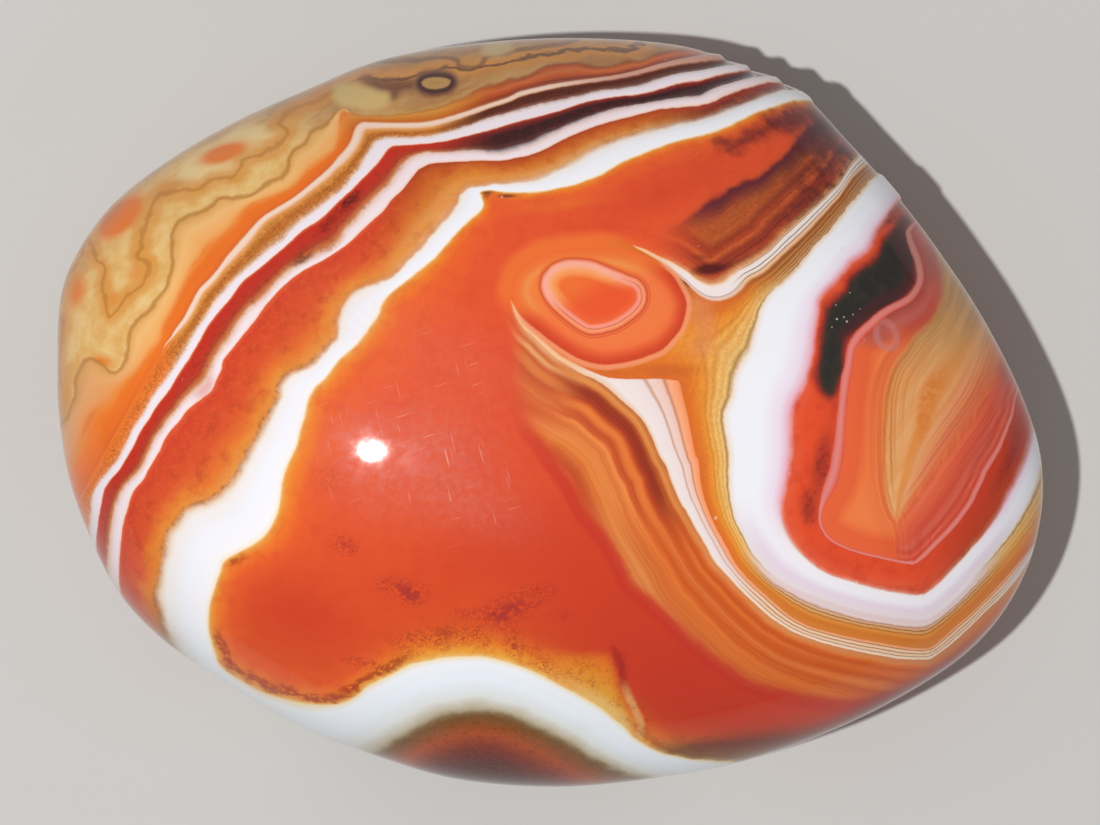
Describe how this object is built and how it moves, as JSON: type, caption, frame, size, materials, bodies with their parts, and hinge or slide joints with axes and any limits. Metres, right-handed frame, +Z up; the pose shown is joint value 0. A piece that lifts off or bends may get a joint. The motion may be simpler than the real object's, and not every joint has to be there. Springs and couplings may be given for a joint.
{
  "type": "polished lace agate",
  "caption": "Smooth polished pebble of red, orange, cream and white banded agate, resting on a small flat ground on its underside.",
  "frame": {"origin": "on the flat underside, below the middle of the stone's length and width", "axes": "+X along the stone's length, to the right as the banded face is seen; +Y across it, up as it is seen; +Z up, out of the banded face"},
  "size_m": [0.064, 0.0488, 0.027],
  "materials": {
    "agate": "polished, banded in red, orange, cream and white"
  },
  "bodies": {
    "root": {"lace_agate": "agate"}
  },
  "joints": []
}
